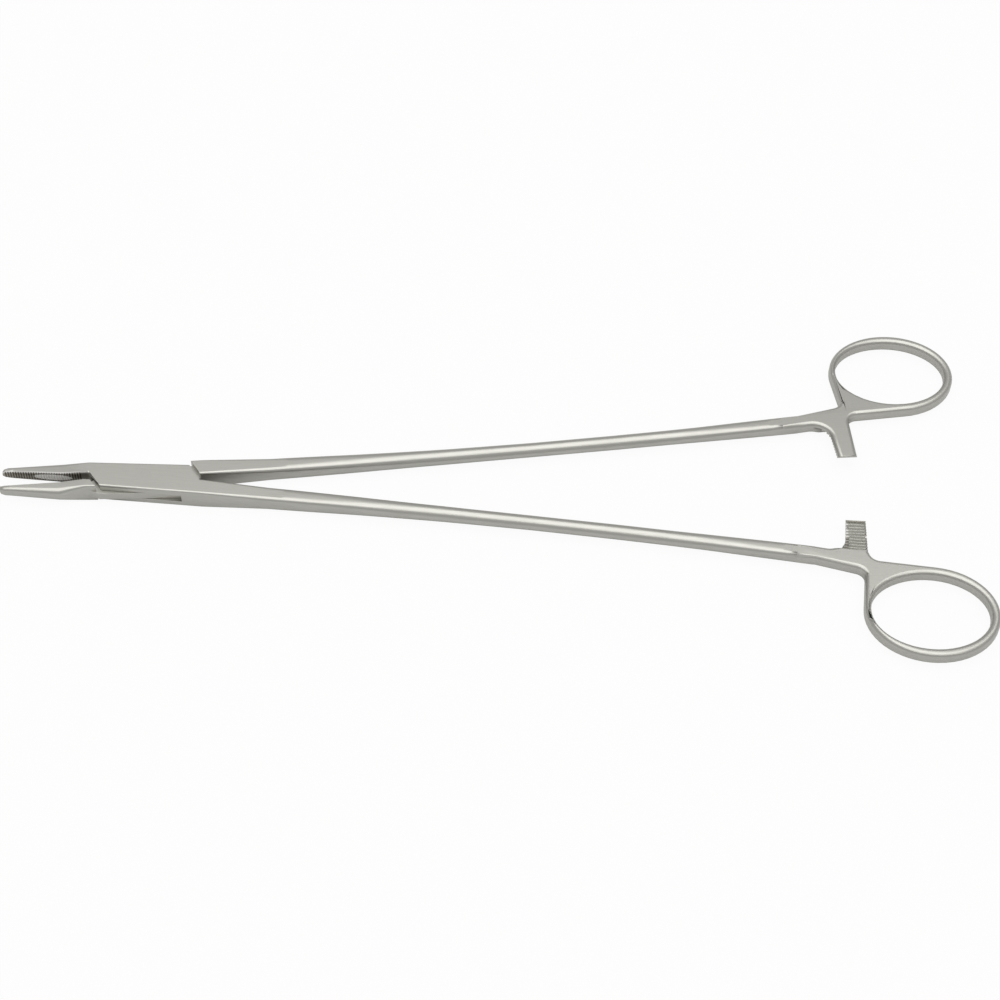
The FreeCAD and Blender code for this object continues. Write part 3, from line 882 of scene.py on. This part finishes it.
@dataclass(frozen=True)
class Studio:
    """A white sweep under even, soft light."""

    sky: str = "#C0C0BF"
    floor: str = "#DDDDDD"
    floor_size: float = 6.0
    seen_glow: float = 0.94
    mirrored_glow: float = 0.1
    lamps: tuple[Lamp, ...] = (
        Lamp("overhead_soft_box", place=(0.1, -0.04, 1.2), aim=(0.1, -0.02, 0.0),
             width=1.8, height=1.6, watts=12.0),
    )

    def paper(self) -> bpy.types.Material:
        """Make the sweep's paper: matt, and white wherever the camera or a reflection sees it.

        Returns:
            The paper's material.
        """
        material, tree = new_material("white_paper")
        matt = add_node(tree, "ShaderNodeBsdfDiffuse", values={"Color": linear(self.floor)}).outputs[0]
        glow = add_node(tree, "ShaderNodeEmission").outputs[0]
        rays = add_node(tree, "ShaderNodeLightPath").outputs
        mirrored = add_node(tree, "ShaderNodeMath", {
            0: rays["Is Glossy Ray"], 1: rays["Is Transmission Ray"]}, operation="MAXIMUM").outputs[0]
        share = add_node(tree, "ShaderNodeMath", {0: mirrored}, {1: self.mirrored_glow},
                         operation="MULTIPLY")
        total = add_node(tree, "ShaderNodeMath", {0: rays["Is Camera Ray"], 2: share.outputs[0]}, {
            1: self.seen_glow}, operation="MULTIPLY_ADD")
        mixed = add_node(tree, "ShaderNodeMixShader", {0: total.outputs[0], 1: matt, 2: glow})
        add_node(tree, "ShaderNodeOutputMaterial", {"Surface": mixed.outputs[0]})
        return material

    def build(self) -> bpy.types.Object:
        """Lay the sweep, light the sky and hang the lamps.

        Returns:
            The sweep.
        """
        form = bmesh.new()
        bmesh.ops.create_grid(form, x_segments=1, y_segments=1, size=self.floor_size / 2)
        mesh = bpy.data.meshes.new("paper_sweep")
        form.to_mesh(mesh)
        form.free()
        mesh.materials.append(self.paper())
        sweep = show(mesh, "paper_sweep")
        world = bpy.data.worlds.new("soft_sky")
        world.use_nodes = True
        world.node_tree.nodes.clear()
        sky = add_node(world.node_tree, "ShaderNodeBackground", values={"Color": linear(self.sky)})
        add_node(world.node_tree, "ShaderNodeOutputWorld", {"Surface": sky.outputs[0]})
        bpy.context.scene.world = world
        for lamp in self.lamps:
            lamp.build()
        bpy.context.scene.view_settings.view_transform = "Standard"
        return sweep


def main() -> None:
    """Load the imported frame, dress each piece, and set up the picture."""
    logging.basicConfig(level=logging.INFO, format="%(name)s: %(message)s")
    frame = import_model()
    half_opening = -frame["joints"][0]["range_deg"][0] / 2
    for node, side in (("box_half", Side.BOX), ("tongue_half", Side.TONGUE)):
        swing = half_opening * side.value
        satin = SatinSteel(f"satin_stainless_steel_{node}", dark="#B8B7B1", light="#C2C1BB",
                           roughness=0.36, roughness_spread=0.04, grain_length_mm=6.0, grain_width_mm=0.3,
                           bump_mm=0.004, swing_deg=swing)
        # The groove colour is painted shade, and the hollow colour a painted highlight
        grip = SerratedSteel(f"serrated_stainless_steel_{node}", crest="#A8A49C", groove_shade="#625D55",
                             hollow="#F4F3F0", roughness=0.45, swing_deg=swing)
        # Near-white: a painted highlight on the bevelled tooth ends and on the hollow's ribs
        lip_glint = SatinSteel(f"burnished_stainless_steel_{node}", dark="#E4E2DE", light="#F0EFEC",
                         roughness=0.45, roughness_spread=0.05, grain_length_mm=0.4, grain_width_mm=0.4,
                         bump_mm=0.004, swing_deg=swing)
        finishes = {Zone.SATIN: satin.build(), Zone.GRIP: grip.build(), Zone.LIP: lip_glint.build()}
        forging = Forging(node, node, side, swing)
        piece = forging.build(finishes)
        log.info("%s: %d faces", piece.name, len(piece.data.polygons))
        # The ribs take the near-white finish, a painted highlight
        ribs = HollowRibs(forging).build(finishes[Zone.LIP])
        log.info("%s: %d faces", ribs.name, len(ribs.data.polygons))
    turned = TurnedSteel("turned_stainless_steel", dark="#B7B6B1", light="#C1C0BB",
                         roughness=0.36, ring_mm=0.3, bump_mm=0.003)
    pin = Rivet().build(turned.build())
    log.info("%s: dressed", pin.name)
    PhotoCamera().build()
    Studio().build()


if __name__ == "__main__":
    main()
